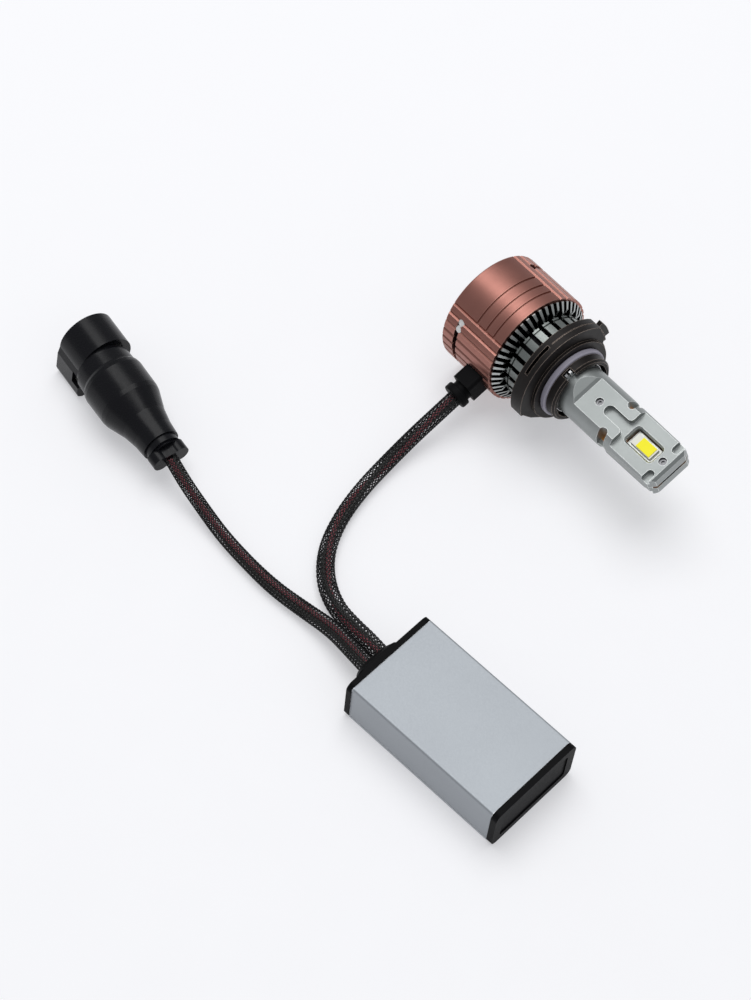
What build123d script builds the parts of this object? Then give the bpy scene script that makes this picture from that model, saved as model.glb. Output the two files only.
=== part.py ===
from build123d import *
import math
import os

# LED headlight bulb with an in-line driver, millimetres, +Z up.
# The origin is the centre of the locating ring on the mounting collar.
# The lamp lies on a table with its nose tipped up, its driver and its plug beside it.

# ---- driving dimensions: lamp, measured along its own axis from the ring centre ----
LOCATING_D = 20.8
NOSE_UP = 6.3
LAMP_ROLL = 18.5
HOUSING_R = 17.4
HOUSING_WALL = 1.2
REAR_ROUND = 0.4
REAR_X = -37.6
HOUSING_FRONT_X = -17.6
HOUSING_CLOCK = 82.7
SMOOTH_HALF_ANGLE = 38.8
RIB_LINES = 12
VENT_X = REAR_X + 5.1
VENT_EYE_R = 1.05
GLAND_X = REAR_X + 14.0
FIN_TOP_R = 16.6
FIN_COUNT = 48
BLOCK_COUNT = 24
BEVEL_X = -17.1
BLOCK_REAR_X = -15.2
BLOCK_R = 13.5
SINK_FRONT_X = -9.7
NECK_R = 9.0
NECK_END_X = -2.0
BARREL_R = 7.8
TAIL_R = 6.5
TAIL_X = -21.0
TIP_X = 38.1
HIGH_FLAT = 5.8
LOW_FLAT = 4.0
HIGH_FLAT_X = 5.8
LOW_FLAT_X = 21.4
WINDOW_X = 28.0
BOARD_HALF = 0.5
PEDESTAL_TOP = 2.0
LED_TOP = 2.8
RUNNING_GAP = 0.05
TAPER_X = 16.8
WAIST_NOTCH_X = 17.8
TIP_NOTCH_X = 35.6
SCREW_SITES = ((10.5, HIGH_FLAT), (35.4, LOW_FLAT))

# ---- fan, inside the rear housing ----
FAN_REAR_X = REAR_X + 1.25
FAN_FRONT_X = FAN_REAR_X + 7.0
FAN_R = HOUSING_R - HOUSING_WALL - 0.05
FAN_SCREW_R = FAN_R - 1.0

# ---- mounting collar: stations along the axis, lobes as angles in degrees ----
COLLAR_REAR_X = -9.2
FLANGE_X = -8.4
FLANGE_FRONT_X = -4.2
FLANGE_R = 17.1
STEP_X = -3.3
RING_HALF = 1.5
ORING_X = -2.35
LOWER_LOBE = (-103.5, -53.5)
KEY_LUG = (-6.0, 17.0)
RIM_SLOT = (92.0, 125.0)
RIM_LINE = (30.0, 88.0)
CLIP_WIRE_R = 0.22
CLIP_ANGLE = 96.0

# ---- driving dimensions: driver, plug and cords ----
CASE_L = 49.4
CASE_W = 29.6
CASE_H = 15.6
CASE_WALL = 1.4
CAP_GROW = 0.35
CASE_YAW = 7.4
CASE_X = 56.5
CASE_Y = -87.4
BOSS_Y = -2.0
BOSS_H = 7.6
BOARD_Z = 4.05
PLUG_YAW = -4.0
PLUG_X = -99.7
PLUG_Y = -95.61
PLUG_AXIS_H = 9.65
SHROUD_L = 10.3
SHROUD_R = 8.3
SHROUD_OFFSET = (1.5, 0.7)
KEY_L = 11.0
SHROUD_WALL = 1.3
SOCKET_DEPTH = 9.0
PLUG_NECK_R = 7.6
BOOT_X = 11.8
BOOT_END_X = 41.6
SEAL_END_X = 46.9
BLADE_Z = (-3.2, 3.2)
CORD_D = 4.6

NOSE_SIN, NOSE_COS = math.sin(math.radians(NOSE_UP)), math.cos(math.radians(NOSE_UP))
FLOOR_Z = (REAR_X + REAR_ROUND) * NOSE_SIN - (HOUSING_R - REAR_ROUND) * NOSE_COS - REAR_ROUND
LAMP_PLACE = Rot(0, -NOSE_UP, 0) * Rot(LAMP_ROLL, 0, 0)
CASE_PLACE = Pos(CASE_X, CASE_Y, FLOOR_Z) * Rot(0, 0, CASE_YAW)
PLUG_PLACE = Pos(PLUG_X, PLUG_Y, FLOOR_Z + PLUG_AXIS_H) * Rot(0, 0, PLUG_YAW)

# ---- cord routes, points in the part's own frame ----
LAMP_CORD = [
    (-22.3, -24.5, -10.8),
    (-22.0, -30.6, -12.9),
    (-21.7, -38.9, -15.9),
    (-20.4, -49.0, -18.3),
    (-18.0, -60.0, -18.9),
    (-14.1, -70.7, -18.9),
    (-8.5, -79.9, -18.9),
    (-1.0, -86.0, -18.9),
    (7.4, -89.0, -18.3),
    (15.7, -89.5, -16.3),
    (21.9, -89.5, -14.6),
    (27.6, -89.7, -13.8),
]
SUPPLY_CORD = [
    (-52.9, -98.9, -11.7),
    (-46.7, -99.5, -13.8),
    (-38.8, -99.4, -16.8),
    (-28.9, -99.6, -18.8),
    (-18.1, -99.3, -18.9),
    (-7.3, -98.3, -18.9),
    (3.0, -95.9, -18.7),
    (12.6, -94.3, -16.6),
    (20.7, -94.7, -14.6),
    (28.3, -94.8, -13.8),
]


def turned(*points):
    """A solid of revolution about X from (x, radius) corners."""
    return revolve(make_face(Polyline(*points, close=True)), Axis.X)


def group(pieces):
    """Separate solids that share one node."""
    return Compound(list(pieces))


def tube(x0, x1, outer, inner):
    return turned((x0, inner), (x1, inner), (x1, outer), (x0, outer))


def block(x0, x1, y0, y1, z0, z1):
    size = (x1 - x0, y1 - y0, z1 - z0)
    return Pos((x0 + x1) / 2, (y0 + y1) / 2, (z0 + z1) / 2) * Box(*size)


def spun(shape, angle):
    """The shape turned about the lamp axis, 0 at +Y and 90 at +Z."""
    return Rot(angle, 0, 0) * shape


def around(shape, angles):
    return [spun(shape, angle) for angle in angles]


def upright(x, y, z0, z1, radius):
    """A round post along Z."""
    return Pos(x, y, (z0 + z1) / 2) * Cylinder(radius, z1 - z0)


def sector(x0, x1, outer, inner, start, end):
    """Part of a ring about the lamp axis, from one angle to the other."""
    face = make_face(Polyline((x0, inner), (x1, inner), (x1, outer), (x0, outer), close=True))
    return spun(revolve(face, Axis.X, end - start), start)


# ---- rear housing and fan ----
def rear_housing():
    front, bore = HOUSING_FRONT_X, HOUSING_R - HOUSING_WALL
    lip_r, lip_x = bore - 1.0, REAR_X + 1.2
    shell = turned(
        (REAR_X, lip_r), (lip_x, lip_r), (lip_x, bore),
        (front, bore), (front, HOUSING_R), (REAR_X, HOUSING_R),
    )
    rear_edges = shell.edges().filter_by(GeomType.CIRCLE).group_by(Axis.X)[0]
    shell = fillet(rear_edges.sort_by(SortBy.RADIUS)[-1:], REAR_ROUND)
    cuts = []
    start, end = HOUSING_CLOCK - SMOOTH_HALF_ANGLE, HOUSING_CLOCK + SMOOTH_HALF_ANGLE
    for side in (0, 180):
        for groove_x in (9.6, 13.2, 16.3):
            x0 = REAR_X + groove_x
            cuts.append(sector(x0, x0 + 0.7, HOUSING_R + 1, HOUSING_R - 0.4, start + side, end + side))
        rib_pitch = (180 - 2 * SMOOTH_HALF_ANGLE) / (RIB_LINES - 1)
        groove = Pos(REAR_X + 10, HOUSING_R, 0) * Rot(45, 0, 0) * Box(24, 0.75, 0.75)
        cuts += around(groove, [end + side + i * rib_pitch for i in range(RIB_LINES)])
    vent_start, vent_end = HOUSING_CLOCK + 47.5, HOUSING_CLOCK + 132.5
    vent = sector(VENT_X - 0.7, VENT_X + 0.7, HOUSING_R + 1, bore - 2, vent_start, vent_end)
    cuts += around(vent, (0, 180))
    for angle in (vent_start + 5, vent_end + 180 - 5):
        cuts.append(spun(vent_eye(HOUSING_R + 1, lip_r, 0), angle))
    cuts.append(spun(Pos(GLAND_X, HOUSING_R, 0) * Box(7.0, 8, 8.0), 180))
    return shell - cuts


def vent_eye(outer, inner, margin):
    """The wide round end of a vent slot, as a post along the radius at angle 0."""
    post = Rot(90, 0, 0) * Cylinder(VENT_EYE_R - margin, outer - inner)
    middle = Pos(VENT_X + 0.2, (outer + inner) / 2, 0)
    return middle * Pos(0, 0, -1.05) * post + middle * Pos(0, 0, 1.05) * post


def vent_plug():
    angle = HOUSING_CLOCK + 47.5 + 5
    return spun(vent_eye(HOUSING_R - 0.3, HOUSING_R - HOUSING_WALL, 0.02), angle)


def rear_grille():
    x0, x1 = REAR_X + 0.1, REAR_X + 1.2
    rim_r = HOUSING_R - HOUSING_WALL - 1.0
    grille = tube(x0, x1, rim_r, rim_r - 1.2) + turned((x0, 0), (x1, 0), (x1, 5.6), (x0, 5.6))
    for ring_r in (7.6, 9.9, 12.2):
        grille += tube(x0, x1, ring_r + 0.45, ring_r - 0.45)
    spoke = block(x0, x1, 4.0, rim_r - 0.6, -0.6, 0.6)
    for arm in around(spoke, range(30, 390, 60)):
        grille += arm
    return grille


def fan_frame():
    ring = tube(FAN_REAR_X, FAN_FRONT_X, FAN_R, FAN_R - 2.0)
    hub = turned((FAN_REAR_X, 1.3), (FAN_REAR_X + 0.9, 1.3), (FAN_REAR_X + 0.9, 6.0), (FAN_REAR_X, 6.0))
    post = tube(FAN_REAR_X, FAN_REAR_X + 5.2, 2.0, 1.3)
    frame = ring + hub + post
    arm = block(FAN_REAR_X, FAN_REAR_X + 0.9, 5.0, 15.0, -0.9, 0.9)
    for strut in around(arm, (90, 210, 330)):
        frame += strut
    screw_hole = Pos((FAN_REAR_X + FAN_FRONT_X) / 2, FAN_SCREW_R, 0) * Rot(0, 90, 0) * Cylinder(0.6, 12)
    return frame - around(screw_hole, (30, 150, 270))


def fan_screws():
    shank = Pos(FAN_FRONT_X - 1.2, FAN_SCREW_R, 0) * Rot(0, 90, 0) * Cylinder(0.58, 8.0)
    return group(around(shank, (30, 150, 270)))


def fan_board():
    return tube(FAN_REAR_X + 0.95, FAN_REAR_X + 1.5, 5.2, 2.05)


def fan_stator():
    x0, x1 = FAN_REAR_X + 2.0, FAN_REAR_X + 4.4
    core = tube(x0, x1, 3.0, 2.03)
    for angle in (0, 90, 180, 270):
        core += spun(block(x0, x1, 2.6, 4.9, -0.55, 0.55), angle)
        core += sector(x0, x1, 5.4, 4.8, angle - 34, angle + 34)
    return core


def fan_coils():
    x0, x1 = FAN_REAR_X + 1.65, FAN_REAR_X + 4.75
    winding = block(x0, x1, 3.25, 4.6, -1.3, 1.3) - block(x0 + 0.3, x1 - 0.3, 3.0, 5.0, -0.58, 0.58)
    return group(around(winding, (0, 90, 180, 270)))


def fan_bearing():
    return tube(FAN_REAR_X + 0.2, FAN_REAR_X + 5.0, 1.3, 0.8)


def fan_shaft():
    return turned(
        (FAN_REAR_X + 0.5, 0), (FAN_FRONT_X - 0.4, 0),
        (FAN_FRONT_X - 0.4, 0.75), (FAN_REAR_X + 0.5, 0.75),
    )


def fan_magnet():
    return tube(FAN_REAR_X + 1.9, FAN_REAR_X + 4.7, 6.5, 5.7)


def fan_rotor():
    cap_x, end_x = FAN_FRONT_X - 1.1, FAN_FRONT_X - 0.3
    rear_x = FAN_REAR_X + 1.5
    cup = turned(
        (rear_x, 6.5), (cap_x, 6.5), (cap_x, 0.75), (end_x, 0.75), (end_x, 7.2), (rear_x, 7.2),
    )
    blade = Pos(FAN_REAR_X + 3.9, 10.3, 0) * Rot(0, 40, 0) * Box(6.0, 7.0, 0.7)
    ring = tube(FAN_REAR_X + 1.6, FAN_FRONT_X - 0.35, FAN_R - 2.5, 7.0)
    blade = blade & ring
    for vane in around(blade, [i * 360 / 9 for i in range(9)]):
        cup += vane
    return cup


# ---- heat sink ----
def heat_sink():
    fin_rear_x = FAN_FRONT_X + 0.6
    inner_r = HOUSING_R - HOUSING_WALL - 0.05
    step_x = HOUSING_FRONT_X + 0.2
    tail_seat_x = TAIL_X - 0.2
    body = turned(
        (fin_rear_x, 0), (fin_rear_x, inner_r), (step_x, inner_r), (step_x, FIN_TOP_R),
        (BEVEL_X, FIN_TOP_R), (BLOCK_REAR_X, 14.0), (BLOCK_REAR_X, BLOCK_R), (SINK_FRONT_X, BLOCK_R),
        (SINK_FRONT_X, NECK_R), (NECK_END_X, NECK_R), (NECK_END_X, TAIL_R), (tail_seat_x, TAIL_R),
        (tail_seat_x, 0),
    )
    slot_end_x = BLOCK_REAR_X + 0.4
    slot = block(fin_rear_x - 1, slot_end_x, 9.8, 20, -0.62, 0.62)
    body -= around(slot, [i * 360 / FIN_COUNT for i in range(FIN_COUNT)])
    wide_slot = block(BLOCK_REAR_X - 0.6, SINK_FRONT_X + 1, 10.6, 20, -0.68, 0.68)
    body -= around(wide_slot, [(i + 0.25) * 360 / BLOCK_COUNT for i in range(BLOCK_COUNT)])
    body -= tube(BLOCK_REAR_X + 1.0, BLOCK_REAR_X + 1.5, 20, BLOCK_R - 0.5)
    screw_hole = Pos(fin_rear_x + 2, FAN_SCREW_R, 0) * Rot(0, 90, 0) * Cylinder(0.6, 6)
    body -= around(screw_hole, (30, 150, 270))
    body -= spun(Pos(GLAND_X, 13.6, 0) * Box(7.2, 10, 8.4), 180)
    wire_way = Pos(TAIL_X - 4, -4.2, 0) * Rot(0, 90, 0) * Cylinder(1.3, 10)
    return body - wire_way


# ---- lamp body ----
def raised_outline():
    """The low level of the lamp plate, seen from above, with its slot into the high level."""
    low = Pos(LOW_FLAT_X + 15, 0) * Rectangle(30, 24)
    slot = Pos(LOW_FLAT_X - 1.0, 0) * SlotOverall(14.8, 3.4)
    outline = low + slot
    shoulders = [v for v in outline.vertices() if abs(v.X - LOW_FLAT_X) < 0.01 and abs(v.Y) < 3]
    return fillet(shoulders, 1.2)


def lamp_plate():
    """One half of the lamp body: the half above the core board."""
    x0, x1 = NECK_END_X, TIP_X
    full = turned((TAIL_X, 0), (TAIL_X, TAIL_R), (x0, TAIL_R), (x0, BARREL_R), (x1, BARREL_R), (x1, 0))
    plan = make_face(Polyline(
        (TAIL_X - 1, -9), (TAPER_X - 0.4, -9), (TAPER_X, -7.5), (x1 - 1.7, -7.1), (x1, -5.3),
        (x1, 5.3), (x1 - 1.7, 7.1), (TAPER_X, 7.5), (TAPER_X - 0.4, 9), (TAIL_X - 1, 9),
        close=True))
    half = full & extrude(plan, 10)
    ramp = make_face(Polyline(
        (2.2, 10), (2.2, 7.9), (4.9, 6.5), (HIGH_FLAT_X, HIGH_FLAT), (x1 + 1, HIGH_FLAT),
        (x1 + 1, 10), close=True))
    half -= extrude(Rot(90, 0, 0) * ramp, 10, both=True)
    half -= Pos(0, 0, LOW_FLAT) * extrude(raised_outline(), 10)
    nose = make_face(Polyline((x1 - 0.9, 5), (x1 - 0.9, LOW_FLAT), (x1 + 0.1, 3.1), (x1 + 1, 5), close=True))
    half -= extrude(Rot(90, 0, 0) * nose, 10, both=True)
    half -= block(TAIL_X - 1, x1 + 1, -6.2, 6.2, -1, BOARD_HALF)
    window = RectangleRounded(10.1, 5.3, 0.9)
    half -= Pos(WINDOW_X, 0) * extrude(window, LOW_FLAT + 1)
    half -= Pos(WINDOW_X, 0, LOW_FLAT - 0.45) * extrude(window, 0.5, taper=-45)
    for side in (-1, 1):
        half -= side_notch(WAIST_NOTCH_X, 5.5, 1.35, side, 0.2)
        half -= side_notch(TIP_NOTCH_X, 4.8, 1.2, side, 2.3)
    for hole_x, top in SCREW_SITES:
        half -= upright(hole_x, 0, 0, 10, 0.85)
        half -= upright(hole_x, 0, top - 1.4, 10, 1.2)
    return half


def side_notch(x, depth_y, radius, side, floor_z):
    """A round-bottomed notch cut into one long edge of the lamp plate."""
    mouth = block(x - radius, x + radius, *sorted((side * depth_y, side * 10)), floor_z, 10)
    return upright(x, side * depth_y, floor_z, 10, radius) + mouth


def core_board():
    outline = make_face(Polyline(
        (TAIL_X, -6.1), (TIP_X - 0.5, -6.1), (TIP_X - 0.5, -3.4), (TIP_X - 3.2, -3.4), (TIP_X - 3.2, 3.4),
        (TIP_X - 0.5, 3.4), (TIP_X - 0.5, 6.1), (TAIL_X, 6.1), close=True))
    plan = make_face(Polyline(
        (TAIL_X - 1, -9), (TAPER_X, -7.0), (TIP_X - 1.7, -6.6), (TIP_X, -4.8),
        (TIP_X, 4.8), (TIP_X - 1.7, 6.6), (TAPER_X, 7.0), (TAIL_X - 1, 9), close=True))
    board = extrude(outline, BOARD_HALF, both=True) & extrude(plan, 1, both=True)
    board += block(WINDOW_X - 4.7, WINDOW_X + 4.7, -2.35, 2.35, -PEDESTAL_TOP, PEDESTAL_TOP)
    for hole_x, _ in SCREW_SITES:
        board -= upright(hole_x, 0, -3, 3, 0.85)
    return board


def led_package():
    return block(WINDOW_X - 3.9, WINDOW_X + 3.7, -1.8, 1.8, PEDESTAL_TOP, LED_TOP)


def phosphor():
    return block(WINDOW_X - 1.9, WINDOW_X + 3.2, -1.6, 1.6, LED_TOP, LED_TOP + 0.25)


def plate_screw(hole_x, top):
    screw = upright(hole_x, 0, -top + 0.6, top - 1.4, 0.8) + upright(hole_x, 0, top - 1.4, top - 0.7, 1.15)
    recess = Pos(hole_x, 0, top - 0.7) * extrude(RegularPolygon(0.6, 6), -0.45)
    return screw - recess


def below(shape):
    """The same piece on the other side of the core board."""
    return Rot(180, 0, 0) * shape


# ---- mounting collar ----
def upper_lobe():
    """The wide lobe over the top of the flange, with its two slanted ends, seen along the axis."""
    bounds = make_face(Polyline(
        (0, 0), (11.8, -1.8), (14.6, 3.6), (14.4, 7.6), (16, 18), (-18, 18), (-18, 2.6),
        (-16.4, 1.6), (-14.7, -2.5), (-12.4, -5.8), (-10.0, -6.8), close=True))
    return Circle(FLANGE_R) & bounds


def collar():
    ring_r = LOCATING_D / 2
    bore_r, groove_r, groove_x = NECK_R + RUNNING_GAP, 9.98, ORING_X + 0.95
    hub = turned(
        (COLLAR_REAR_X, bore_r), (COLLAR_REAR_X, 13.8), (FLANGE_X, 14.0), (FLANGE_FRONT_X, 13.6),
        (FLANGE_FRONT_X, 13.1), (STEP_X, 13.1), (STEP_X, groove_r), (groove_x, groove_r), (groove_x, ring_r),
        (RING_HALF - 0.6, ring_r), (RING_HALF, ring_r - 0.6), (RING_HALF, 8.95), (-0.9, 8.95),
        (-0.9, BARREL_R + 0.1), (-1.8, BARREL_R + 0.1), (-1.8, bore_r),
    )
    lobe = extrude(Plane.YZ.offset(FLANGE_X) * upper_lobe(), FLANGE_FRONT_X - FLANGE_X)
    hub += lobe & tube(FLANGE_X, FLANGE_FRONT_X, 20, 12)
    hub += sector(FLANGE_X, FLANGE_FRONT_X, FLANGE_R, 12, *LOWER_LOBE)
    hub += sector(FLANGE_X, FLANGE_X + 1.8, FLANGE_R - 1.2, 12, -10, 40)
    hub += sector(FLANGE_X, FLANGE_X + 1.4, FLANGE_R + 0.5, 12, *KEY_LUG)
    hub -= sector(FLANGE_X + 1.5, FLANGE_X + 2.5, 20, 14.6, *RIM_SLOT)
    hub -= sector(FLANGE_X + 2.0, FLANGE_X + 2.18, 20, FLANGE_R - 0.15, *RIM_LINE)
    notch = block(-0.85, 2, 8.5, 12, -1.5, 1.5)
    return hub - spun(notch, CLIP_ANGLE)


def collar_o_ring():
    band = tube(ORING_X - 0.9, ORING_X + 0.9, 11.1, 10.0)
    return fillet(band.edges().filter_by(GeomType.CIRCLE).sort_by(SortBy.RADIUS)[-2:], 0.5)


def collar_clip():
    """Spring clip of round wire in the collar's front recess, with two bent ends in the notch."""
    clip_x, gap, end_half = 0.1, 4.0, 0.36
    centre_r = BARREL_R + 0.12 + CLIP_WIRE_R
    section = Pos(clip_x, centre_r) * Circle(CLIP_WIRE_R)
    ring = spun(revolve(section, Axis.X, 360 - 2 * gap), CLIP_ANGLE + gap)
    bent_end = block(clip_x - end_half, clip_x + end_half, centre_r - CLIP_WIRE_R, 10.3, -end_half, end_half)
    for angle in (CLIP_ANGLE - gap, CLIP_ANGLE + gap):
        ring += spun(bent_end, angle)
    return ring


# ---- lamp cord gland ----
def cord_gland():
    """Moulded strain relief, built pointing along +Y and turned to the housing's side."""
    foot = block(-3.3, 3.3, 14.6, 16.3, -3.7, 3.7)
    body = block(-3.4, 3.4, 16.2, 21.4, -3.9, 3.9)
    body = fillet(body.edges().filter_by(Axis.Y), 1.2)
    neck = Pos(0, 22.0, 0) * Rot(90, 0, 0) * Cylinder(3.0, 1.8)
    end_ring = Pos(0, 24.0, 0) * Rot(90, 0, 0) * Cylinder(3.9, 2.4)
    end_ring = fillet(end_ring.edges(), 0.5)
    gland = foot + body + neck + end_ring
    return Pos(GLAND_X, 0, 0) * Rot(180, 0, 0) * Pos(0, 0.6, 0) * gland


# ---- driver ----
def driver_case():
    half_l = CASE_L / 2
    outer = RectangleRounded(CASE_W, CASE_H, 0.7)
    inner = RectangleRounded(CASE_W - 2 * CASE_WALL, CASE_H - 2 * CASE_WALL, 0.4)
    section = Plane.YZ * (Pos(0, CASE_H / 2) * (outer - inner))
    case = Pos(-half_l, 0, 0) * extrude(section, CASE_L)
    for side in (-1, 1):
        wall_y = side * (CASE_W / 2 - CASE_WALL)
        y0, y1 = sorted((wall_y, wall_y - side * 1.0))
        case += block(-half_l, half_l, y0, y1, 3.2, 4.0) + block(-half_l, half_l, y0, y1, 5.7, 6.5)
        groove_y = side * CASE_W / 2
        case -= Pos(0, groove_y, 1.5) * Rot(45, 0, 0) * Box(CASE_L, 0.45, 0.45)
    return case


def cap_plate(x0, x1):
    """The outer plate of an end cap, a little wider and taller than the case."""
    height = CASE_H + CAP_GROW
    outline = RectangleRounded(CASE_W + 2 * CAP_GROW, height, 2.2)
    return extrude(Plane.YZ.offset(x0) * (Pos(0, height / 2) * outline), x1 - x0)


def cap_plug(x0, x1):
    margin = 2 * CASE_WALL + 2.4
    outline = RectangleRounded(CASE_W - margin, CASE_H - 2 * CASE_WALL - 0.2, 0.4)
    return extrude(Plane.YZ.offset(x0) * (Pos(0, CASE_H / 2) * outline), x1 - x0)


def driver_rear_cap():
    x1 = -CASE_L / 2
    cap_x, boss_x = x1 - 1.6, x1 - 4.6
    cap = cap_plate(cap_x, x1) + cap_plug(x1, x1 + 2.5)
    foot = Plane.YZ.offset(cap_x - 1.6) * (Pos(BOSS_Y, BOSS_H) * RectangleRounded(15.2, 10.4, 3.0))
    face = Plane.YZ.offset(boss_x) * (Pos(BOSS_Y, BOSS_H) * RectangleRounded(11.6, 6.6, 3.0))
    return cap + extrude(foot, 1.6) + loft([foot, face])


def driver_front_cap():
    x0 = CASE_L / 2
    cap = cap_plate(x0, x0 + 1.9) + cap_plug(x0 - 2.5, x0)
    recess = RectangleRounded(CASE_W - 5.0, CASE_H - 5.0, 1.0)
    return cap - extrude(Plane.YZ.offset(x0 + 1.5) * (Pos(0, CASE_H / 2) * recess), 3)


def driver_board():
    length, width = CASE_L - 7.0, CASE_W - 2 * CASE_WALL - 0.4
    return block(-length / 2, length / 2, -width / 2, width / 2, BOARD_Z, BOARD_Z + 1.5)


def driver_inductors():
    base = BOARD_Z + 1.5
    coil = Pos(8.5, 5.0, base + 2.6) * fillet(Box(9.0, 9.0, 5.2).edges().filter_by(Axis.Z), 1.2)
    small = Pos(8.5, -6.4, base + 1.9) * fillet(Box(6.4, 6.4, 3.8).edges().filter_by(Axis.Z), 1.0)
    return group([coil, small])


def driver_capacitors():
    base = BOARD_Z + 1.5
    cans = [upright(-3.6, y, base, base + 6.6, 2.9) for y in (-7.4, 0.2)]
    return group([fillet(can.edges().sort_by(Axis.Z)[-1:], 0.4) for can in cans])


def driver_chips():
    base = BOARD_Z + 1.5
    chips = [block(x, x + 5.0, y, y + 6.0, base, base + 1.6) for x, y in ((15.0, -3.0), (-4.8, 5.6))]
    return group(chips + [block(-13.5, -8.5, 3.0, 7.0, base, base + 1.5)])


def cord_terminals():
    base = BOARD_Z + 1.5
    pads = [block(-19.5, -16.5, y, y + 2.0, base, base + 1.2) for y in (-7.6, -4.4, -0.4, 2.8)]
    return group(pads)


# ---- plug on the supply cord; its own axis is X, mouth at x = 0 ----
def shroud_outline():
    """A circle with a square keyed corner on its lower side."""
    corner = make_face(Polyline(
        (0, 0), (-6.8, 1.2), (-7.6, -1.0), (-8.3, -7.2), (-8.0, -8.6), (-6.8, -9.5), (0.6, -9.5),
        close=True))
    return Pos(*SHROUD_OFFSET) * Circle(SHROUD_R) + corner


def plug_shroud():
    outline = shroud_outline()
    shroud = extrude(Plane.YZ * outline, SHROUD_L)
    shroud += extrude(Plane.YZ * outline, KEY_L) & block(0, KEY_L, -12, -1.5, -12, 0.6)
    shroud += turned((SHROUD_L, 0), (BOOT_X + 5, 0), (BOOT_X + 5, PLUG_NECK_R), (SHROUD_L, PLUG_NECK_R))
    socket = offset(outline, amount=-SHROUD_WALL)
    shroud -= extrude(Plane.YZ.offset(-1) * socket, SOCKET_DEPTH + 1)
    shroud -= block(7.9, KEY_L + 1, -12, -6.4, -4.8, -0.6)
    for blade_z in BLADE_Z:
        shroud -= block(0, 30, -1.65, 1.65, blade_z - 0.45, blade_z + 0.45)
    return shroud


def plug_terminals():
    blades = []
    for blade_z in BLADE_Z:
        blade = block(2.0, BOOT_X + 5.5, -1.6, 1.6, blade_z - 0.4, blade_z + 0.4)
        blades.append(chamfer(blade.edges().group_by(Axis.X)[0], 0.25))
    return group(blades)


def plug_boot():
    """Moulded boot, turned; its profile is given from its front edge."""
    bore, neck_end_x = PLUG_NECK_R + 0.05, BOOT_X + 5
    profile = ((0, 8.3), (3.7, 8.5), (4.6, 8.95), (5.8, 9.15), (13.8, 9.05), (15.2, 8.8), (16.6, 8.3),
               (21.2, 6.7), (25.6, 5.85), (29.0, 5.6))
    outside = [(BOOT_X + along, radius) for along, radius in profile]
    return turned(
        (BOOT_X, bore), *outside, (BOOT_END_X, 5.5), (BOOT_END_X, 4.0), (neck_end_x, 4.0), (neck_end_x, bore),
    )


def wire_seal():
    core_end, block_x = BOOT_END_X + 2.4, BOOT_END_X + 1.5
    core = turned((BOOT_END_X - 8, 0), (BOOT_END_X - 8, 3.95), (core_end, 3.95), (core_end, 0))
    rim = tube(BOOT_END_X + 0.05, BOOT_END_X + 1.9, 4.9, 3.5)
    seal = core + rim + block(block_x, SEAL_END_X, -2.2, 2.2, -2.2, 2.2)
    for y in (-3.0, 3.0):
        seal += Pos(SEAL_END_X - 1.7, y, 0) * Rot(0, 90, 0) * Cylinder(2.5, 3.4)
    return seal


def route_tube(name, points):
    """A plain round tube along straight runs joined by tangent arcs."""
    pts = [Vector(*p) for p in points]
    radii = []
    for before, here, after in zip(pts, pts[1:], pts[2:]):
        turn = math.radians((here - before).get_angle(after - here))
        shorter = min((here - before).length, (after - here).length)
        radii.append(0.45 * shorter / math.tan(turn / 2))
    path = FilletPolyline(*pts, radius=radii)
    start = Plane(origin=pts[0], z_dir=pts[1] - pts[0])
    solid = sweep(start * Circle(CORD_D / 2), path=path)
    expected = math.pi * (CORD_D / 2) ** 2 * path.length
    print(name, "length", round(path.length, 1), "radii", [round(r, 1) for r in radii])
    print(name, "volume over section times length", round(solid.volume / expected, 4))
    return solid


def all_parts():
    """Every node's solid, in its place."""
    lamp = {
        "rear_housing": rear_housing(),
        "vent_plug": vent_plug(),
        "rear_grille": rear_grille(),
        "fan_frame": fan_frame(),
        "fan_screws": fan_screws(),
        "fan_board": fan_board(),
        "fan_stator": fan_stator(),
        "fan_coils": fan_coils(),
        "fan_bearing": fan_bearing(),
        "fan_shaft": fan_shaft(),
        "fan_magnet": fan_magnet(),
        "fan_rotor": fan_rotor(),
        "heat_sink": heat_sink(),
        "lamp_plate_upper": lamp_plate(),
        "lamp_plate_lower": below(lamp_plate()),
        "core_board": core_board(),
        "led_upper": led_package(),
        "led_lower": below(led_package()),
        "phosphor_upper": phosphor(),
        "phosphor_lower": below(phosphor()),
        "plate_screws": group([plate_screw(*site) for site in SCREW_SITES]),
        "collar": collar(),
        "collar_o_ring": collar_o_ring(),
        "collar_clip": collar_clip(),
        "cord_gland": cord_gland(),
    }
    driver = {
        "driver_case": driver_case(),
        "driver_rear_cap": driver_rear_cap(),
        "driver_front_cap": driver_front_cap(),
        "driver_board": driver_board(),
        "driver_inductors": driver_inductors(),
        "driver_capacitors": driver_capacitors(),
        "driver_chips": driver_chips(),
        "cord_terminals": cord_terminals(),
    }
    plug = {
        "plug_shroud": plug_shroud(),
        "plug_terminals": plug_terminals(),
        "plug_boot": plug_boot(),
        "wire_seal": wire_seal(),
    }
    placed = {name: LAMP_PLACE * shape for name, shape in lamp.items()}
    placed |= {name: CASE_PLACE * shape for name, shape in driver.items()}
    placed |= {name: PLUG_PLACE * shape for name, shape in plug.items()}
    placed["lamp_cord"] = route_tube("lamp_cord", LAMP_CORD)
    placed["supply_cord"] = route_tube("supply_cord", SUPPLY_CORD)
    return placed


os.makedirs("parts", exist_ok=True)
for node, shape in all_parts().items():
    export_step(shape, f"parts/{node}.step")
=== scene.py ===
import math

import bpy
import numpy as np
from mathutils import Matrix, Vector


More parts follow.
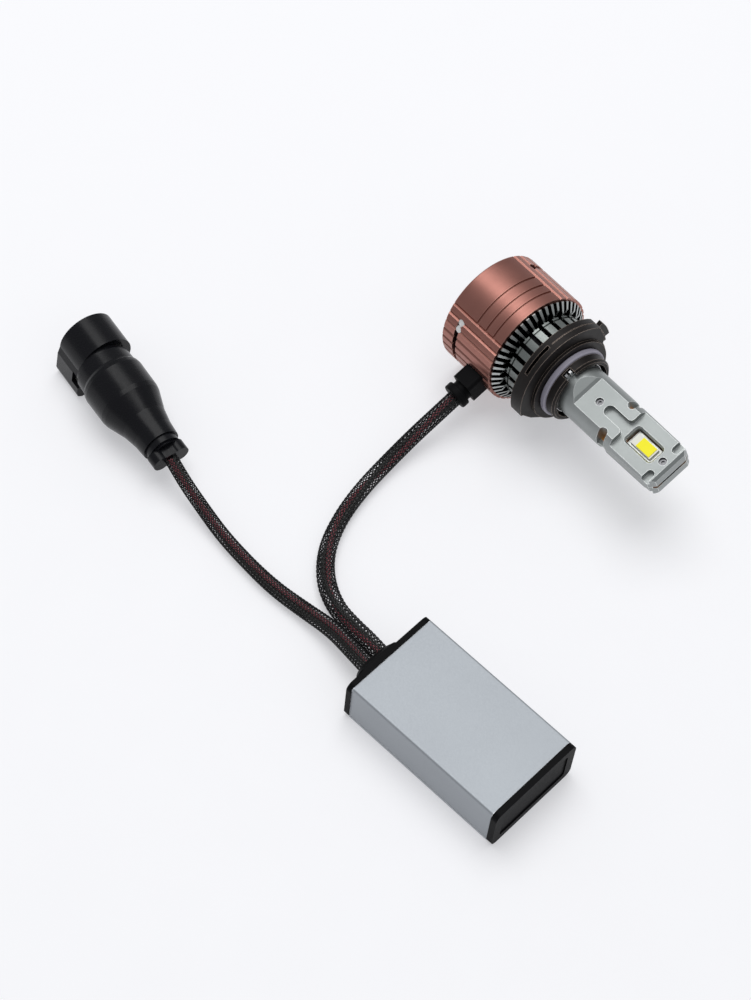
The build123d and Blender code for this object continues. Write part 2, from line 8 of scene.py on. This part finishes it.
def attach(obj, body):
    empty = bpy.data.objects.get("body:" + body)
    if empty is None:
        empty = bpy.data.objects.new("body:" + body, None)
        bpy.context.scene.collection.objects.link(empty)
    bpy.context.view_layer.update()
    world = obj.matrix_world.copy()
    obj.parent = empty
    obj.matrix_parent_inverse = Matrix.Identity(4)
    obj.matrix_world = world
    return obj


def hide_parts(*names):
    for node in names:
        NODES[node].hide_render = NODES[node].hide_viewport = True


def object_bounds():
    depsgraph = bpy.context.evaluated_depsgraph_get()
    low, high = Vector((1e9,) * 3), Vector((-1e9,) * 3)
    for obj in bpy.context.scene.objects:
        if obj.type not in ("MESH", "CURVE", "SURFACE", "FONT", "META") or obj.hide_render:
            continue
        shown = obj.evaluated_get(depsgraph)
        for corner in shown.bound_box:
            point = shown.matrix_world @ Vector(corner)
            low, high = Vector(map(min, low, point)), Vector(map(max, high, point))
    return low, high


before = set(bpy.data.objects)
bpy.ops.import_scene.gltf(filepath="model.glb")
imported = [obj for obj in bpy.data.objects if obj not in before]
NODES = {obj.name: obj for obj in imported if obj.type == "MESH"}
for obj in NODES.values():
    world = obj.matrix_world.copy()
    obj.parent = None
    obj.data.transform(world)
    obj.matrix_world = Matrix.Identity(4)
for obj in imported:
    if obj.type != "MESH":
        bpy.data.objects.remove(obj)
CAD_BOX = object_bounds()
MM = 0.001

NOSE_UP = math.radians(6.3)
LAMP_ROLL = math.radians(18.5)
FLOOR_Z = CAD_BOX[0].z

# turns the shared frame into the lamp's own: X along its axis, from the locating ring's centre
LAMP_INV = (Matrix.Rotation(-NOSE_UP, 3, "Y") @ Matrix.Rotation(LAMP_ROLL, 3, "X")).inverted()

# ---- camera, in metres and degrees ----
LOOK_AT = Vector((-0.0141, -0.0581, FLOOR_Z))
CAMERA_OFFSET = Vector((0.2894, -0.2820, 0.6556))
CAMERA_HEADING = math.radians(45.7)
CAMERA_ROLL = math.radians(6.8)
CAMERA_LENS = 101.0
CAMERA_SENSOR = 36


def make_camera():
    place = LOOK_AT + CAMERA_OFFSET
    back = (place - LOOK_AT).normalized()
    level = Vector((math.cos(CAMERA_HEADING), math.sin(CAMERA_HEADING), 0))
    level = (level - back * level.dot(back)).normalized()
    up = back.cross(level)
    right = level * math.cos(CAMERA_ROLL) + up * math.sin(CAMERA_ROLL)
    top = -level * math.sin(CAMERA_ROLL) + up * math.cos(CAMERA_ROLL)
    data = bpy.data.cameras.new("camera")
    data.sensor_width = CAMERA_SENSOR
    data.lens = CAMERA_LENS
    camera = bpy.data.objects.new("camera", data)
    axes = Matrix((right, top, back)).transposed().to_4x4()
    camera.matrix_world = Matrix.Translation(place) @ axes
    bpy.context.scene.collection.objects.link(camera)
    bpy.context.scene.camera = camera


make_camera()


# ---- material kit ----
class Look:
    """A principled material and short names for the nodes that feed it."""

    def __init__(self, name, color, rough=0.5, metal=0.0, **sockets):
        self.mat = bpy.data.materials.new(name)
        self.mat.use_nodes = True
        self.tree = self.mat.node_tree
        self.bsdf = self.tree.nodes["Principled BSDF"]
        self.put("Base Color", color)
        self.put("Roughness", rough)
        self.put("Metallic", metal)
        for socket, value in sockets.items():
            self.put(socket.replace("_", " "), value)

    def put(self, socket, value):
        if isinstance(value, tuple):
            value = (*value, 1.0)
        if isinstance(value, (float, int, tuple)):
            self.bsdf.inputs[socket].default_value = value
        else:
            self.tree.links.new(value, self.bsdf.inputs[socket])

    def node(self, kind, **settings):
        made = self.tree.nodes.new(kind)
        for key, value in settings.items():
            setattr(made, key, value)
        return made

    def feed(self, socket, value):
        if isinstance(value, bpy.types.NodeSocket):
            self.tree.links.new(value, socket)
        elif isinstance(value, tuple) and len(value) == 3 and len(socket.default_value) == 4:
            socket.default_value = (*value, 1.0)
        else:
            socket.default_value = value

    def coords(self, turn=None, scale=(1, 1, 1)):
        place = self.node("ShaderNodeTexCoord").outputs["Object"]
        if turn is not None:
            first = self.node("ShaderNodeMapping", vector_type="POINT")
            first.inputs["Rotation"].default_value = turn.to_euler("XYZ")
            self.feed(first.inputs["Vector"], place)
            place = first.outputs["Vector"]
        last = self.node("ShaderNodeMapping", vector_type="POINT")
        last.inputs["Scale"].default_value = scale
        self.feed(last.inputs["Vector"], place)
        return last.outputs["Vector"]

    def noise(self, scale, vector, detail=3.0, rough=0.55):
        made = self.node("ShaderNodeTexNoise")
        self.feed(made.inputs["Vector"], vector)
        made.inputs["Scale"].default_value = scale
        made.inputs["Detail"].default_value = detail
        made.inputs["Roughness"].default_value = rough
        return made.outputs["Fac"]

    def math(self, operation, a, b=0.0, clamp=False):
        made = self.node("ShaderNodeMath", operation=operation, use_clamp=clamp)
        self.feed(made.inputs[0], a)
        self.feed(made.inputs[1], b)
        return made.outputs[0]

    def span(self, value, low, high, out_low=0.0, out_high=1.0):
        made = self.node("ShaderNodeMapRange")
        for socket, given in zip(("Value", "From Min", "From Max", "To Min", "To Max"),
                                 (value, low, high, out_low, out_high)):
            self.feed(made.inputs[socket], given)
        return made.outputs["Result"]

    def mix(self, share, a, b):
        made = self.node("ShaderNodeMix", data_type="RGBA")
        self.feed(made.inputs[0], share)
        self.feed(made.inputs[6], a)
        self.feed(made.inputs[7], b)
        return made.outputs[2]

    def edges(self, radius):
        """1 on an outer edge's corner, 0 on flat faces."""
        soft = self.node("ShaderNodeBevel", samples=4)
        soft.inputs["Radius"].default_value = radius
        flat = self.node("ShaderNodeNewGeometry").outputs["Normal"]
        dot = self.node("ShaderNodeVectorMath", operation="DOT_PRODUCT")
        self.feed(dot.inputs[0], soft.outputs["Normal"])
        self.feed(dot.inputs[1], flat)
        return self.span(dot.outputs["Value"], 0.995, 0.93)

    def bump(self, height, depth, strength=1.0):
        made = self.node("ShaderNodeBump")
        self.feed(made.inputs["Height"], height)
        made.inputs["Distance"].default_value = depth
        made.inputs["Strength"].default_value = strength
        self.put("Normal", made.outputs["Normal"])

    def vary(self, vector, scale, rough, colors=None, detail=3.0):
        """Noise that varies the roughness and, where two colours are given, the colour."""
        grain = self.noise(scale, vector, detail)
        self.put("Roughness", self.span(grain, 0.3, 0.7, *rough))
        if colors:
            self.put("Base Color", self.mix(grain, *colors))


def dress(look, *names):
    for name in names:
        node = NODES[name]
        for slot in node.material_slots:
            slot.link = "OBJECT"
            slot.material = look.mat


# ---- cords: routes are part.py's points, in metres ----
LAMP_CORD = [
    (-0.0223, -0.0245, -0.0108),
    (-0.0220, -0.0306, -0.0129),
    (-0.0217, -0.0389, -0.0159),
    (-0.0204, -0.0490, -0.0183),
    (-0.0180, -0.0600, -0.0189),
    (-0.0141, -0.0707, -0.0189),
    (-0.0085, -0.0799, -0.0189),
    (-0.0010, -0.0860, -0.0189),
    (0.0074, -0.0890, -0.0183),
    (0.0157, -0.0895, -0.0163),
    (0.0219, -0.0895, -0.0146),
    (0.0276, -0.0897, -0.0138),
]
SUPPLY_CORD = [
    (-0.0529, -0.0989, -0.0117),
    (-0.0467, -0.0995, -0.0138),
    (-0.0388, -0.0994, -0.0168),
    (-0.0289, -0.0996, -0.0188),
    (-0.0181, -0.0993, -0.0189),
    (-0.0073, -0.0983, -0.0189),
    (0.0030, -0.0959, -0.0187),
    (0.0126, -0.0943, -0.0166),
    (0.0207, -0.0947, -0.0146),
    (0.0283, -0.0948, -0.0138),
]
STEP = 0.25 * MM

# the sleeve: a strand's share of the space between two, and the rest in millimetres
STRAND_SHARE = 0.44
STRAND_THICK = 0.22
WEAVE_HEIGHT = 0.1
SLEEVE_HALF_HEIGHT = 2.0
FIRST_STRAND = 0.1
WIRE_R = 0.7
WIRE_RIM_POINTS = 13

# cord widths in millimetres, at shares of the length
LAMP_WIDTHS = ((0, 4.3), (0.5, 4.2), (0.72, 5.0), (0.85, 4.9), (1, 4.7))
SUPPLY_WIDTHS = ((0, 3.6), (0.45, 3.8), (0.8, 4.7), (1, 4.8))


def spline_points(points):
    """Evenly spaced points along the NURBS line whose control points are given."""
    curve = bpy.data.curves.new("route", "CURVE")
    curve.dimensions = "3D"
    curve.resolution_u = 64
    spline = curve.splines.new("NURBS")
    spline.points.add(len(points) - 1)
    for target, point in zip(spline.points, points):
        target.co = (*point, 1.0)
    spline.order_u = 3
    spline.use_endpoint_u = True
    holder = bpy.data.objects.new("route", curve)
    line = bpy.data.meshes.new_from_object(holder)
    raw = np.array([v.co for v in line.vertices])
    bpy.data.objects.remove(holder)
    bpy.data.curves.remove(curve)
    bpy.data.meshes.remove(line)
    along = np.concatenate([[0], np.cumsum(np.linalg.norm(np.diff(raw, axis=0), axis=1))])
    stations = np.linspace(0, along[-1], int(along[-1] / STEP) + 1)
    return stations, np.stack([np.interp(stations, along, raw[:, i]) for i in range(3)], axis=1)


def section_frames(path):
    """Tangent, level side and upward side at each point of a path."""
    tangent = np.gradient(path, axis=0)
    tangent /= np.linalg.norm(tangent, axis=1)[:, None]
    side = np.cross(tangent, (0, 0, 1.0))
    side /= np.linalg.norm(side, axis=1)[:, None]
    return tangent, side, np.cross(side, tangent)


def grid_mesh(name, rows, looks, picks):
    """One mesh from grids of points; each grid has its own material index."""
    verts, faces, marks, start = [], [], [], 0
    for grid, pick in zip(rows, picks):
        n, m = grid.shape[:2]
        verts.append(grid.reshape(-1, 3))
        base = start + np.arange(n - 1)[:, None] * m + np.arange(m - 1)[None, :]
        quads = np.stack([base, base + 1, base + m + 1, base + m], axis=-1).reshape(-1, 4)
        faces.append(quads)
        marks.append(np.full(len(quads), pick))
        start += n * m
    mesh = bpy.data.meshes.new(name)
    mesh.from_pydata(np.concatenate(verts).tolist(), [], np.concatenate(faces).tolist())
    mesh.polygons.foreach_set("material_index", np.concatenate(marks).astype(np.int32))
    mesh.polygons.foreach_set("use_smooth", np.ones(len(mesh.polygons), dtype=bool))
    for look in looks:
        mesh.materials.append(look.mat)
    made = bpy.data.objects.new(name, mesh)
    bpy.context.scene.collection.objects.link(made)
    return made


def ring_point(frames, half_w, half_h, angle, lift):
    """Points on the flattened section at the given angles, raised by lift."""
    _, side, upward = frames
    across = side * ((half_w + lift) * np.cos(angle))[:, None]
    return across + upward * ((half_h + lift) * np.sin(angle))[:, None]


def strand_rows(path, frames, halves, strands, turns):
    """The two crossing families of lens-shaped strands, woven over and under each other."""
    pitch = 2 * math.pi / strands
    half_w, half_h = halves
    weave = np.cos(strands * turns) * WEAVE_HEIGHT
    lens = ((-0.5, 0), (0, 0.5), (0.5, 0), (0, -0.5), (-0.5, 0))
    rows = []
    for family in (1, -1):
        for strand in range(strands):
            angle = FIRST_STRAND + strand * pitch + family * turns
            lines = []
            for across, rise in lens:
                lift = (family * weave + rise * STRAND_THICK) * MM
                turned = angle + across * STRAND_SHARE * pitch
                lines.append(path + ring_point(frames, half_w, half_h, turned, lift))
            rows.append(np.stack(lines, axis=1))
    return rows


def wire_row(path, frames, centre_angle, reach):
    """One round insulated wire, its centre at the given angle about the cord's own line."""
    _, side, upward = frames
    centre = path + side * (reach * np.cos(centre_angle))[:, None]
    centre = centre + upward * (reach * np.sin(centre_angle))[:, None]
    rim = [centre + ring_point(frames, WIRE_R * MM, WIRE_R * MM, np.full(len(path), turn), 0)
           for turn in np.linspace(0, 2 * math.pi, WIRE_RIM_POINTS)]
    return np.stack(rim, axis=1)


def braided_cord(name, points, widths, strands, lead, twist):
    """An open braided sleeve, wider than the two slowly twisted wires inside it.

    A strand goes once round in lead millimetres. The twist is the wires' first angle in degrees
    and the millimetres in which they go once round.
    """
    along, path = spline_points(points)
    frames = section_frames(path)
    half_w = np.interp(along / along[-1], *zip(*widths)) / 2 * MM
    half_h = np.minimum(half_w, SLEEVE_HALF_HEIGHT * MM)
    turns = 2 * math.pi * along / (lead * MM)
    rows = strand_rows(path, frames, (half_w, half_h), strands, turns)
    picks = [0] * len(rows)
    first_angle, turn_length = twist
    angle = math.radians(first_angle) + 2 * math.pi * along / (turn_length * MM)
    for pick, offset in ((1, 0), (2, math.pi)):
        rows.append(wire_row(path, frames, angle + offset, WIRE_R * MM)[::2])
        picks.append(pick)
    made = grid_mesh(name, rows, (sleeve_strand, wire_red, wire_black), picks)
    return made, path


sleeve_strand = Look("sleeve_strand", (0.012, 0.012, 0.013), 0.32, Specular_IOR_Level=0.25)
sleeve_strand.vary(sleeve_strand.coords(), 6000, (0.24, 0.42),
                   ((0.004, 0.004, 0.0045), (0.014, 0.014, 0.015)), 2.0)
wire_red = Look("wire_red", (0.45, 0.08, 0.11), 0.32, Specular_IOR_Level=0.7)
wire_red.vary(wire_red.coords(), 500, (0.26, 0.4), ((0.42, 0.075, 0.105), (0.56, 0.14, 0.17)), 2.0)
wire_black = Look("wire_black", (0.02, 0.02, 0.022), 0.34, Specular_IOR_Level=0.6)
wire_black.vary(wire_black.coords(), 500, (0.28, 0.42),
                ((0.03, 0.032, 0.028), (0.09, 0.093, 0.085)), 2.0)

lamp_sleeve, lamp_path = braided_cord(
    "lamp_cord_sleeve", LAMP_CORD, LAMP_WIDTHS, strands=16, lead=23, twist=(30, 46))
supply_sleeve, supply_path = braided_cord(
    "supply_cord_sleeve", SUPPLY_CORD, SUPPLY_WIDTHS, strands=15, lead=16, twist=(40, 170))
for sleeve, node in ((lamp_sleeve, "lamp_cord"), (supply_sleeve, "supply_cord")):
    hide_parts(node)
    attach(sleeve, "lamp")


# ---- metals ----
def turned_lines(look, scale=1.0):
    """Fine lathe lines round the lamp axis, as a 0 to 1 height."""
    vector = look.coords(LAMP_INV, (5000 * scale, 90, 90))
    return look.noise(1.0, vector, 4.0, 0.7)


housing = Look("rose_copper_anodised", (0.33, 0.15, 0.115), 0.36, 1.0)
lines = turned_lines(housing)
cloud = housing.noise(90, housing.coords(LAMP_INV), 3.0)
tone = housing.mix(cloud, (0.31, 0.137, 0.112), (0.40, 0.182, 0.148))
# painted highlight: the edges are lightened towards a pale copper
highlight_edge = housing.edges(0.22 * MM)
housing.put("Base Color", housing.mix(housing.math("MULTIPLY", highlight_edge, 0.55), tone, (0.62, 0.38, 0.31)))
housing.put("Roughness", housing.span(lines, 0.2, 0.8, 0.28, 0.44))
housing.bump(lines, 0.006 * MM, 0.6)
dress(housing, "rear_housing")


def lamp_polar(look):
    """Position along the lamp axis, radius, and how far the face looks round the axis."""
    split = look.node("ShaderNodeSeparateXYZ")
    look.feed(split.inputs[0], look.coords(LAMP_INV))
    x, y, z = split.outputs
    squares = look.math("ADD", look.math("MULTIPLY", y, y), look.math("MULTIPLY", z, z))
    radius = look.math("SQRT", squares)
    turn = look.node("ShaderNodeMapping", vector_type="VECTOR")
    turn.inputs["Rotation"].default_value = LAMP_INV.to_euler("XYZ")
    coordinate = look.node("ShaderNodeTexCoord")
    look.feed(turn.inputs["Vector"], coordinate.outputs["Normal"])
    facing = look.node("ShaderNodeSeparateXYZ")
    look.feed(facing.inputs[0], turn.outputs["Vector"])
    round_y = look.math("MULTIPLY", facing.outputs[2], y)
    round_z = look.math("MULTIPLY", facing.outputs[1], z)
    around = look.math("ABSOLUTE", look.math("DIVIDE", look.math("SUBTRACT", round_y, round_z), radius))
    return x, radius, around


# the heat sink is black, with its turned outer faces and their edges bare
BARE_FACE = (12.4 * MM, 12.9 * MM)
BARE_EDGE = (12.5 * MM, 13 * MM)
FINS_TO_BLOCKS = (-15.6 * MM, -15.2 * MM)
sink = Look("sink_black_and_bare", (0.03, 0.03, 0.032), 0.4, 1.0)
along, radius, around = lamp_polar(sink)
bare = sink.math("MULTIPLY", sink.span(around, 0.35, 0.2), sink.span(radius, *BARE_FACE))
bare_edge = sink.math("MULTIPLY", sink.edges(0.15 * MM), sink.span(radius, *BARE_EDGE))
bare = sink.math("MAXIMUM", bare, bare_edge, clamp=True)
grain = sink.noise(2600, sink.coords(LAMP_INV), 3.0)
fins = sink.mix(grain, (0.34, 0.36, 0.35), (0.58, 0.6, 0.59))
blocks = sink.mix(grain, (0.17, 0.19, 0.18), (0.32, 0.34, 0.33))
silver = sink.mix(sink.span(along, *FINS_TO_BLOCKS), fins, blocks)
sink.put("Base Color", sink.mix(bare, (0.022, 0.022, 0.024), silver))
sink.put("Roughness", sink.span(bare, 0, 1, 0.42, 0.38))
sink.bump(turned_lines(sink, 0.6), 0.01 * MM, 0.5)
dress(sink, "heat_sink")

plate = Look("satin_aluminium", (0.55, 0.57, 0.56), 0.42, 0.85)
blast = plate.noise(2600, plate.coords(LAMP_INV), 5.0, 0.7)
cloud = plate.noise(120, plate.coords(LAMP_INV), 2.0)
tone = plate.mix(cloud, (0.29, 0.31, 0.305), (0.35, 0.37, 0.365))
# painted highlight: the edges are lightened almost to white
highlight_edge = plate.edges(0.26 * MM)
plate.put("Base Color", plate.mix(plate.math("MULTIPLY", highlight_edge, 0.85), tone, (0.9, 0.92, 0.91)))
plate.put("Roughness", plate.span(blast, 0.25, 0.75, 0.36, 0.5))
plate.bump(blast, 0.012 * MM, 0.5)
dress(plate, "lamp_plate_upper", "lamp_plate_lower")

copper = Look("bare_copper", (0.72, 0.33, 0.14), 0.3, 1.0)
stain = copper.noise(420, copper.coords(LAMP_INV), 4.0)
copper.put("Base Color", copper.mix(copper.span(stain, 0.3, 0.7), (0.72, 0.34, 0.15), (0.48, 0.2, 0.08)))
copper.put("Roughness", copper.span(stain, 0.3, 0.7, 0.24, 0.42))
dress(copper, "fan_coils")

# the board is copper, and tinned from this height above its middle
TINNED_FROM = (0.65 * MM, 0.75 * MM)
core = Look("core_copper_and_tinned", (0.6, 0.3, 0.14), 0.34, 1.0)
place = core.node("ShaderNodeSeparateXYZ")
core.feed(place.inputs[0], core.coords(LAMP_INV))
tinned_top = core.span(core.math("ABSOLUTE", place.outputs["Z"]), *TINNED_FROM)
stain = core.noise(420, core.coords(LAMP_INV), 4.0)
bare = core.mix(core.span(stain, 0.3, 0.7), (1.0, 0.47, 0.14), (0.88, 0.34, 0.09))
tin = core.mix(stain, (0.42, 0.43, 0.41), (0.58, 0.59, 0.56))
core.put("Base Color", core.mix(tinned_top, bare, tin))
core.put("Roughness", core.span(stain, 0.3, 0.7, 0.28, 0.46))
dress(core, "core_board")

steel = Look("turned_steel", (0.42, 0.42, 0.43), 0.3, 1.0)
steel.vary(steel.coords(), 3500, (0.22, 0.4), ((0.3, 0.3, 0.31), (0.55, 0.55, 0.56)))
dress(steel, "fan_screws", "fan_shaft", "fan_stator")

screw = Look("darkened_screw", (0.2, 0.2, 0.21), 0.34, 1.0)
screw.vary(screw.coords(), 3500, (0.26, 0.42), ((0.12, 0.12, 0.125), (0.26, 0.26, 0.27)))
dress(screw, "plate_screws")

wire = Look("spring_wire", (0.62, 0.62, 0.63), 0.2, 1.0)
wire.vary(wire.coords(), 2500, (0.1, 0.26))
dress(wire, "collar_clip")

collar = Look("collar_dark_satin", (0.05, 0.042, 0.04), 0.42, 0.5, Specular_IOR_Level=0.25)
lines = turned_lines(collar, 0.7)
cloud = collar.noise(160, collar.coords(LAMP_INV), 3.0)
tone = collar.mix(cloud, (0.011, 0.0095, 0.009), (0.020, 0.017, 0.016))
# painted highlight: the edges are lightened towards a warm grey
highlight_edge = collar.edges(0.2 * MM)
collar.put("Base Color", collar.mix(collar.math("MULTIPLY", highlight_edge, 0.8), tone, (0.42, 0.34, 0.29)))
collar.put("Roughness", collar.span(lines, 0.2, 0.8, 0.36, 0.52))
collar.bump(lines, 0.008 * MM, 0.5)
dress(collar, "collar")

case = Look("driver_blasted_aluminium", (0.45, 0.48, 0.5), 0.46, 0.55)
blast = case.noise(2400, case.coords(), 5.0, 0.7)
cloud = case.noise(28, case.coords(), 2.0)
tone = case.mix(cloud, (0.30, 0.32, 0.345), (0.36, 0.385, 0.41))
# painted highlight: the edges are painted near white
highlight_edge = case.edges(0.25 * MM)
case.put("Base Color", case.mix(highlight_edge, tone, (0.93, 0.95, 0.98)))
case.put("Roughness", case.span(blast, 0.25, 0.75, 0.4, 0.55))
case.bump(blast, 0.01 * MM, 0.35)
dress(case, "driver_case")

can = Look("drawn_can", (0.55, 0.55, 0.57), 0.3, 1.0)
can.vary(can.coords(), 900, (0.22, 0.4))
dress(can, "driver_capacitors")

tinned = Look("tinned_contact", (0.66, 0.66, 0.64), 0.3, 1.0)
tinned.vary(tinned.coords(), 1200, (0.2, 0.42))
dress(tinned, "plug_terminals", "cord_terminals", "fan_bearing")


# ---- plastics, rubber, light source ----
def moulded(name, low, high, rough, grain_scale=2200.0, depth=0.012, shine=0.5):
    """Moulded plastic with a fine surface grain and a slight painted highlight on its edges."""
    look = Look(name, low, rough, Specular_IOR_Level=shine)
    grain = look.noise(grain_scale, look.coords(), 4.0, 0.65)
    cloud = look.noise(60, look.coords(), 3.0)
    tone = look.mix(cloud, low, high)
    # painted highlight: the edges are lightened towards a brighter copy of the plastic's colour
    highlight_edge = look.edges(0.25 * MM)
    highlight_tone = tuple(min(1.0, c * 2.4 + 0.01) for c in high)
    look.put("Base Color", look.mix(look.math("MULTIPLY", highlight_edge, 0.3), tone, highlight_tone))
    look.put("Roughness", look.span(grain, 0.25, 0.75, rough - 0.07, rough + 0.09))
    look.bump(grain, depth * MM, 0.5)
    return look


caps = moulded("black_moulded", (0.003, 0.003, 0.0033), (0.006, 0.006, 0.0068), 0.5, shine=0.05)
dress(caps, "driver_rear_cap", "driver_front_cap", "cord_gland", "rear_grille", "fan_frame")
boot = moulded("plug_boot_black", (0.004, 0.004, 0.0055), (0.0065, 0.0067, 0.0085), 0.25, 1500.0, 0.006, 0.17)
dress(boot, "plug_boot", "wire_seal", "plug_shroud")
blades = moulded("fan_black", (0.012, 0.012, 0.013), (0.02, 0.02, 0.021), 0.35)
dress(blades, "fan_rotor", "fan_magnet", "driver_chips", "driver_inductors")
white = moulded("vent_white", (0.72, 0.72, 0.71), (0.8, 0.8, 0.79), 0.4)
dress(white, "vent_plug")
ring = moulded("o_ring_grey", (0.27, 0.255, 0.31), (0.33, 0.315, 0.37), 0.5, 1400.0)
dress(ring, "collar_o_ring")
mask = moulded("solder_mask", (0.02, 0.09, 0.045), (0.03, 0.13, 0.07), 0.35)
dress(mask, "driver_board", "fan_board")
package = moulded("led_package", (0.78, 0.77, 0.68), (0.86, 0.85, 0.78), 0.35, 3000.0, 0.004)
dress(package, "led_upper", "led_lower")

# the phosphor's slight emission is a painted glow that brightens the unlit yellow
phosphor = Look("phosphor_yellow_painted_glow", (0.92, 0.82, 0.012), 0.5,
                Specular_IOR_Level=0.25, Emission_Strength=0.12)
phosphor.put("Emission Color", (1.0, 0.9, 0.02))
phosphor.vary(phosphor.coords(), 5200, (0.35, 0.55), ((0.88, 0.80, 0.010), (0.97, 0.90, 0.025)))
dress(phosphor, "phosphor_upper", "phosphor_lower")


# ---- stage and light ----
FLOOR_REACH = 3.0
LIGHT_PLACE = Vector((-0.35, 0.15, 1.5))
LIGHT_AIM = Vector((0.0, -0.05, FLOOR_Z))
LIGHT_SIZE = 1.3
LIGHT_POWER = 16.0
WORLD_STRENGTH = 0.40


def make_floor():
    mesh = bpy.data.meshes.new("floor")
    corners = [(x * FLOOR_REACH, y * FLOOR_REACH, FLOOR_Z)
               for x, y in ((-1, -1), (1, -1), (1, 1), (-1, 1))]
    mesh.from_pydata(corners, [], [(0, 1, 2, 3)])
    floor = bpy.data.objects.new("floor", mesh)
    bpy.context.scene.collection.objects.link(floor)
    paper = Look("white_paper", (0.6, 0.6, 0.61), 0.7, Specular_IOR_Level=0.2)
    paper.put("Emission Color", (0.97, 0.97, 1.0))
    paper.put("Emission Strength", 0.41)
    paper.put("Roughness", paper.span(paper.noise(60, paper.coords()), 0.3, 0.7, 0.62, 0.78))
    mesh.materials.append(paper.mat)


def make_light():
    world = bpy.data.worlds.new("studio")
    world.use_nodes = True
    background = world.node_tree.nodes["Background"]
    background.inputs["Color"].default_value = (0.95, 0.97, 1.0, 1.0)
    background.inputs["Strength"].default_value = WORLD_STRENGTH
    bpy.context.scene.world = world
    data = bpy.data.lights.new("overhead", "AREA")
    data.shape = "RECTANGLE"
    data.size = LIGHT_SIZE
    data.size_y = LIGHT_SIZE
    data.energy = LIGHT_POWER
    lamp = bpy.data.objects.new("overhead", data)
    lamp.location = LIGHT_PLACE
    lamp.rotation_euler = (LIGHT_AIM - LIGHT_PLACE).to_track_quat("-Z", "Y").to_euler()
    bpy.context.scene.collection.objects.link(lamp)
    bpy.context.scene.view_settings.view_transform = "Standard"


make_floor()
make_light()
